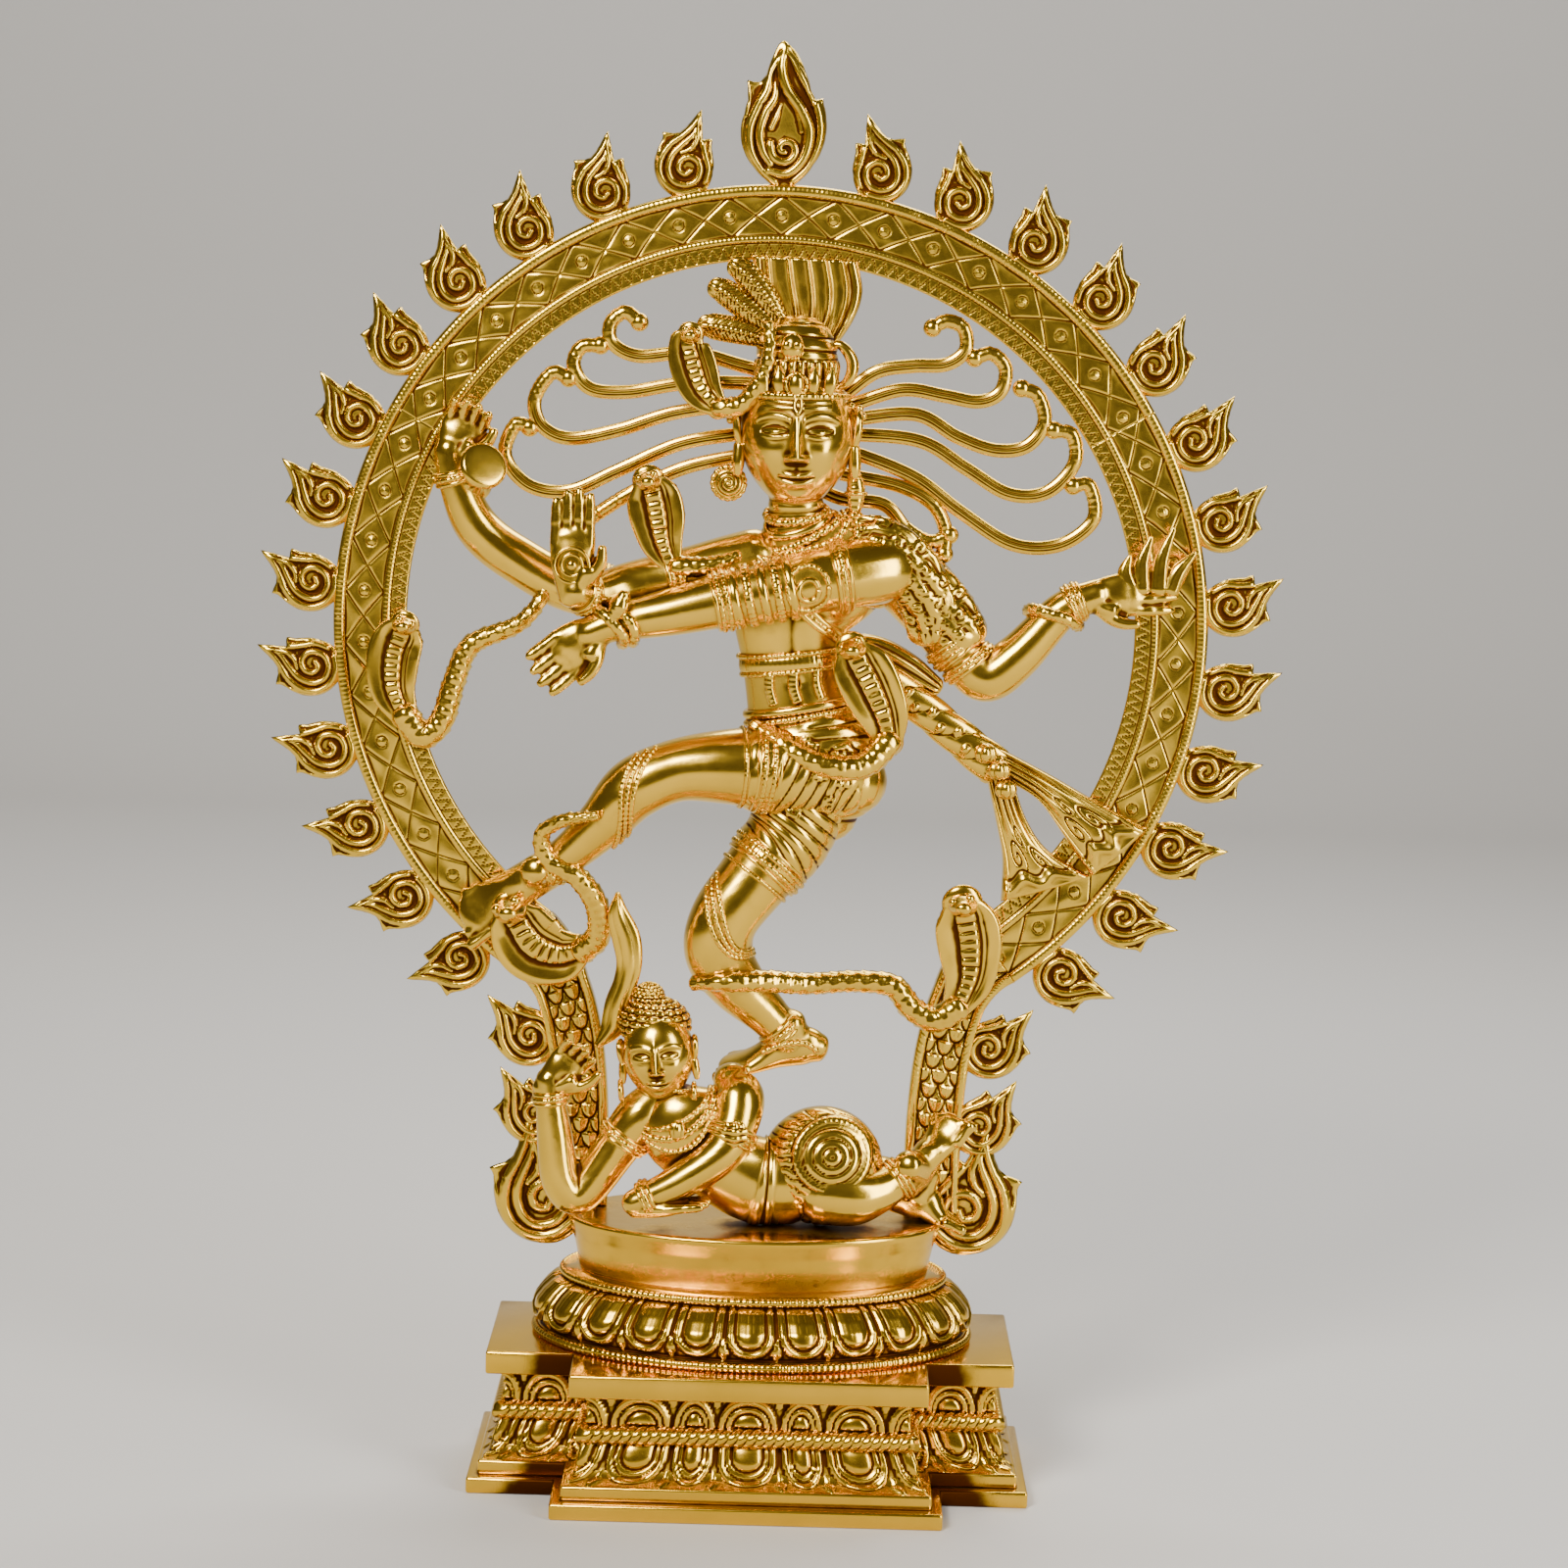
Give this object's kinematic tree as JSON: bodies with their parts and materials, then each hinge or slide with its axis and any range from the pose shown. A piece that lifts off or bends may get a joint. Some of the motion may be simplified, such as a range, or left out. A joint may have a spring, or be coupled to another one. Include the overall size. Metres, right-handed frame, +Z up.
{
  "type": "nataraja statue",
  "caption": "Cast brass figure of a four-armed dancer inside a ring of flames, treading on a dwarf, on a drum, a lotus pedestal and a stepped cross-shaped plinth.",
  "frame": {"origin": "bottom centre of the plinth", "axes": "+Z up, the statue faces -Y, +X to the viewer's right"},
  "size_m": [0.4366, 0.154, 0.6095],
  "materials": {
    "base_brass": "polished high spots with dark patina in the carving",
    "arch_brass": "polished with patina in the engraving",
    "figure_brass": "polished with patina in the recesses",
    "steel": "plain"
  },
  "bodies": {
    "root": {"plinth": "base_brass", "lotus_pedestal": "base_brass", "lotus_petals": "base_brass", "drum_pedestal": "base_brass", "base_bolts": "steel", "post_pins": "steel", "arch_top": "arch_brass", "arch_left": "arch_brass", "arch_right": "arch_brass", "arch_post_left": "arch_brass", "arch_post_right": "arch_brass", "crest_flame": "arch_brass", "flames_top": "arch_brass", "flames_left": "arch_brass", "flames_right": "arch_brass", "flames_post_left": "arch_brass", "flames_post_right": "arch_brass", "base_flame_left": "arch_brass", "base_flame_right": "arch_brass", "torso": "figure_brass", "head": "figure_brass", "crown": "figure_brass", "feather_fan": "figure_brass", "crown_ornaments": "figure_brass", "hair_locks_left": "figure_brass", "hair_locks_right": "figure_brass", "blessing_arm": "figure_brass", "drum_arm": "figure_brass", "crossing_arm": "figure_brass", "flame_arm": "figure_brass", "standing_leg": "figure_brass", "raised_leg": "figure_brass", "hand_drum": "figure_brass", "hand_flame": "arch_brass", "waist_belt": "figure_brass", "waist_sash": "figure_brass", "shoulder_scarf": "figure_brass", "earrings": "figure_brass", "necklace": "figure_brass", "crown_cobra": "figure_brass", "arm_cobra": "figure_brass", "waist_cobra": "figure_brass", "arch_cobra": "figure_brass", "ankle_cobra": "figure_brass", "knee_cobra": "figure_brass", "armlets": "figure_brass", "bracelets": "figure_brass", "leg_bands": "figure_brass", "dwarf_body": "figure_brass", "dwarf_head": "figure_brass", "dwarf_raised_arm": "figure_brass", "dwarf_resting_arm": "figure_brass", "dwarf_legs": "figure_brass", "dwarf_sword": "figure_brass", "dwarf_bands": "figure_brass"}
  },
  "joints": []
}
